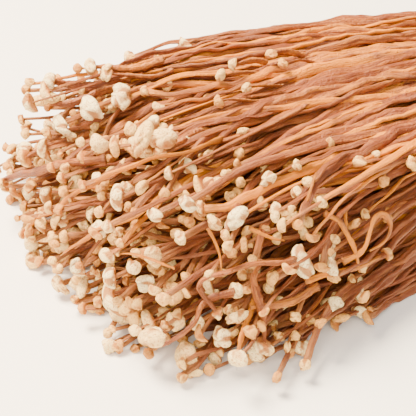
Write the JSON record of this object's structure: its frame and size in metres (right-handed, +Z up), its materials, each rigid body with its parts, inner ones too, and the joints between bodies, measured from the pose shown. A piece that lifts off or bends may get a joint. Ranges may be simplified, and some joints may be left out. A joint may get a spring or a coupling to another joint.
{
  "type": "enoki mushroom bunch",
  "caption": "Dried enoki mushrooms in a loose bunch, laid down: tufts of long thin furrowed stems that fan out from trimmed feet to small pale caps.",
  "frame": {"origin": "on the surface that the bunch lies on, under the middle of its bounding box", "axes": "+X along the stems toward the trimmed feet, -X toward the caps, +Y across the bunch, +Z up"},
  "size_m": [0.15, 0.1029, 0.0406],
  "materials": {
    "dried_mushroom": "matte"
  },
  "bodies": {
    "root": {"tuft_low_1": "dried_mushroom", "tuft_low_2": "dried_mushroom", "tuft_low_3": "dried_mushroom", "tuft_low_4": "dried_mushroom", "tuft_low_5": "dried_mushroom", "tuft_low_6": "dried_mushroom", "tuft_mid_1": "dried_mushroom", "tuft_mid_2": "dried_mushroom", "tuft_mid_3": "dried_mushroom", "tuft_mid_4": "dried_mushroom", "tuft_mid_5": "dried_mushroom", "tuft_top_1": "dried_mushroom", "tuft_top_2": "dried_mushroom", "tuft_top_3": "dried_mushroom", "tuft_top_4": "dried_mushroom"}
  },
  "joints": []
}
